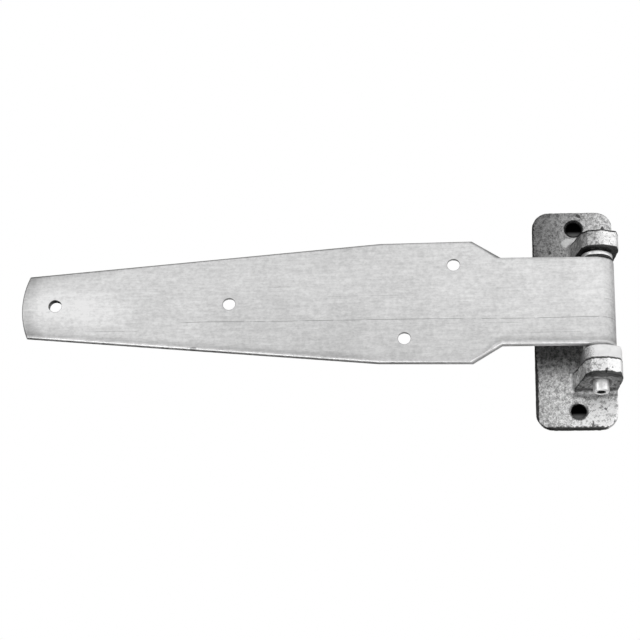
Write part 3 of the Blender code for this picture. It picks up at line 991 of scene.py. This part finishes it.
def make_camera():
    """The camera, turned, tilted and rolled about the point that it aims at."""
    data = bpy.data.cameras.new("camera")
    data.lens = CAMERA_LENS
    data.sensor_width = CAMERA_SENSOR
    data.clip_start = 0.05
    data.clip_end = 20.0
    camera = bpy.data.objects.new("camera", data)
    bpy.context.collection.objects.link(camera)
    turn = Matrix.Rotation(CAMERA_AZIMUTH, 4, "Z")
    tilt = Matrix.Rotation(math.pi / 2.0 - CAMERA_ELEVATION, 4, "X")
    roll = Matrix.Rotation(CAMERA_ROLL, 4, "Z")
    back = Matrix.Translation((0.0, 0.0, CAMERA_DISTANCE))
    camera.matrix_world = Matrix.Translation(CAMERA_AIM) @ turn @ tilt @ roll @ back
    bpy.context.scene.camera = camera


def area_light(name, position, size, power):
    """A soft light that faces the hinge, unseen by the camera."""
    data = bpy.data.lights.new(name, "AREA")
    data.shape = "RECTANGLE"
    data.size, data.size_y = size
    data.energy = power
    light = bpy.data.objects.new(name, data)
    light.location = position
    light.rotation_mode = "QUATERNION"
    light.rotation_quaternion = (LIGHTS_AIM - Vector(position)).to_track_quat("-Z", "Y")
    light.visible_camera = False
    bpy.context.collection.objects.link(light)


def make_surround():
    """A white backdrop for the camera, and the glows for everything else."""
    world = bpy.data.worlds.new("studio")
    bpy.context.scene.world = world
    world.use_nodes = True
    tree = world.node_tree
    soft = tree.nodes["Background"]
    tree.links.new(glow_total(tree), soft.inputs["Strength"])
    white = tree.nodes.new("ShaderNodeBackground")
    for background in (soft, white):
        background.inputs["Color"].default_value = (1.0, 1.0, 1.0, 1.0)
    rays = tree.nodes.new("ShaderNodeLightPath")
    mix = tree.nodes.new("ShaderNodeMixShader")
    tree.links.new(rays.outputs["Is Camera Ray"], mix.inputs[0])
    tree.links.new(soft.outputs[0], mix.inputs[1])
    tree.links.new(white.outputs[0], mix.inputs[2])
    tree.links.new(mix.outputs[0], tree.nodes["World Output"].inputs[0])


def glow_total(tree):
    """The sum of the glows."""
    direction = tree.nodes.new("ShaderNodeTexCoord").outputs["Generated"]
    glows = [glow(tree, direction, Vector(side), levels) for side, levels in GLOWS]
    total = glows[0]
    for further in glows[1:]:
        add = tree.nodes.new("ShaderNodeMath")
        add.operation = "ADD"
        tree.links.new(total, add.inputs[0])
        tree.links.new(further, add.inputs[1])
        total = add.outputs[0]
    return total


def glow(tree, direction, side, levels):
    """A brightness that depends on how far a direction turns towards side."""
    dot = tree.nodes.new("ShaderNodeVectorMath")
    dot.operation = "DOT_PRODUCT"
    dot.inputs[1].default_value = side.normalized()
    tree.links.new(direction, dot.inputs[0])
    share = tree.nodes.new("ShaderNodeMath")
    share.operation = "MULTIPLY_ADD"
    share.inputs[1].default_value = 0.5
    share.inputs[2].default_value = 0.5
    tree.links.new(dot.outputs["Value"], share.inputs[0])
    ramp = tree.nodes.new("ShaderNodeFloatCurve")
    points = ramp.mapping.curves[0].points
    for i, (turn, level) in enumerate(levels):
        point = points[i] if i < 2 else points.new(0.5, 0.5)
        point.location = ((turn + 1.0) / 2.0, level / GLOW_LIMIT)
    ramp.mapping.update()
    tree.links.new(share.outputs[0], ramp.inputs["Value"])
    grown = tree.nodes.new("ShaderNodeMath")
    grown.operation = "MULTIPLY"
    grown.inputs[1].default_value = GLOW_LIMIT
    tree.links.new(ramp.outputs["Value"], grown.inputs[0])
    return grown.outputs[0]


def pale_floor():
    """A glowing floor that lightens outwards until it meets the backdrop's white."""
    s = Shade("floor")
    away = s.reach(s.axis("X"), s.axis("Y"))
    s.shader.inputs["Specular IOR Level"].default_value = 0.0
    s.shader.inputs["Emission Color"].default_value = (1.0, 1.0, 1.0, 1.0)
    s.link(s.span(away, *FLOOR_FADE, FLOOR_GLOW, 1.0), s.shader.inputs["Emission Strength"])
    return s.finish((0.0, 0.0, 0.0, 1.0), 0.9, 0.0)


def make_floor():
    """The round floor, which the hinge neither mirrors nor is lit by."""
    bm = bmesh.new()
    bmesh.ops.create_circle(bm, cap_ends=True, segments=ROUND_SIDES, radius=FLOOR_RADIUS)
    floor = object_from(bm, "floor")
    floor.location.z = FLOOR_Z
    floor.visible_glossy = False
    floor.visible_diffuse = False
    floor.data.materials.append(pale_floor())


def hole_shade(side):
    """A dark card of painted shade in the back of a flange hole, where the plate would lie on its post,
    painted lighter at its lower part.
    """
    edge = PLATE_HOLE_RADIUS + 0.3 * MM
    front, back = -2.0 * MM, -1.6 * MM
    profile = [(0.0, front), (edge, front), (edge, back), (0.0, back)]
    bm = turned(profile, (PLATE_HOLE_X, 0.0, side * PLATE_HOLE_Z), HOLE_SIDES, "Y")
    card = object_from(bm, f"hole_shade_{'upper' if side > 0 else 'lower'}")
    s = Shade("hole_shade")
    middle = side * PLATE_HOLE_Z / MM
    # Painted light: the card is lighter at its lower part.
    painted_light_lower_part = s.span(s.axis("Z"), middle - 3.2, middle - 0.4, 1.0, 0.0)
    s.shader.inputs["Specular IOR Level"].default_value = 0.0
    card.data.materials.append(s.finish(s.mix(painted_light_lower_part, 0.001, 0.16), 0.9, 0.0))


def make_studio():
    """A pale floor with its own light, a white surround and soft lights round the hinge."""
    make_floor()
    make_surround()
    hole_shade(1)
    hole_shade(-1)
    for name, position, size, power in LIGHTS:
        area_light(name, position, size, power)
    bpy.context.scene.view_settings.view_transform = "Standard"


make_camera()
make_studio()
plated = plated_steel()
bright = bright_steel()
nylon = pale_nylon()
place(make_strap(), "strap", "strap", "plated_steel", plated)
place(make_flange(), "flange", "flange", "cast_zinc", cast_zinc())
place(make_pin(), "flange", "hinge_pin", "bright_steel", drawn_steel())
place(make_block(), "flange", "thrust_block", "pale_nylon", nylon)
place(make_washer(), "strap", "thrust_washer", "bright_steel", bright)
place(make_bushing("lower_bushing_skin", LOWER_LOW, LOWER_HIGH, -1), "strap", "lower_bushing",
      "pale_nylon", nylon)
place(make_bushing("upper_bushing_skin", UPPER_LOW, UPPER_HIGH, 1), "strap", "upper_bushing",
      "pale_nylon", nylon)
